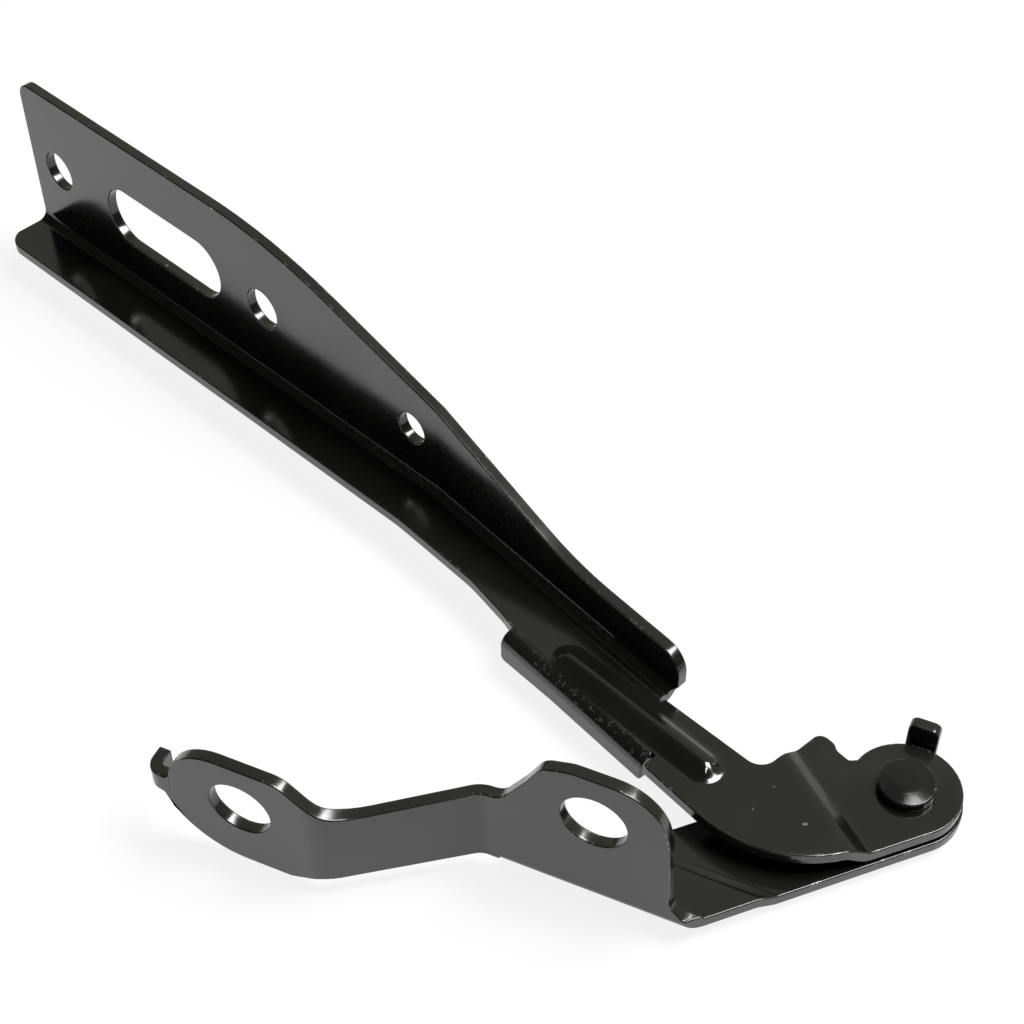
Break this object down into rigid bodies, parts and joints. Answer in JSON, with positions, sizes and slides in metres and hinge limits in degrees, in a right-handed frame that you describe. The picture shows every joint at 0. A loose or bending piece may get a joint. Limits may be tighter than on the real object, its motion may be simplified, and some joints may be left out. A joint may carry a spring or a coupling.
{
  "type": "hood hinge",
  "caption": "Pressed sheet hood hinge: a stepped body bracket with a pivot plate and stop tab, riveted to a long angled arm with a tall slotted hood flange.",
  "frame": {"origin": "centre of the inner bracket hole on the bracket's front face (the face that seats on the car body)", "axes": "+X along the bracket towards the pivot end, +Y from the bracket's seat to the hood flange, +Z the pivot axis towards the rivet head"},
  "size_m": [0.2586, 0.143, 0.0498],
  "materials": {
    "black_coat": "semi-gloss black dip coating",
    "dark_rivet": "semi-gloss black dip coating over a pressed rivet head",
    "bronze": "plain sliding bush",
    "steel": "thin flat washer"
  },
  "bodies": {
    "bracket": {"body_bracket": "black_coat", "pivot_rivet": "dark_rivet", "pivot_washer": "steel"},
    "arm": {"hood_arm": "black_coat", "pivot_bush": "bronze"}
  },
  "joints": [
    {"name": "pivot", "type": "hinge", "parent": "bracket", "child": "arm", "pos_m": [0.0454, 0.0432, -0.01945], "axis": [0, 0, 1], "range_deg": [-58, 12]}
  ]
}
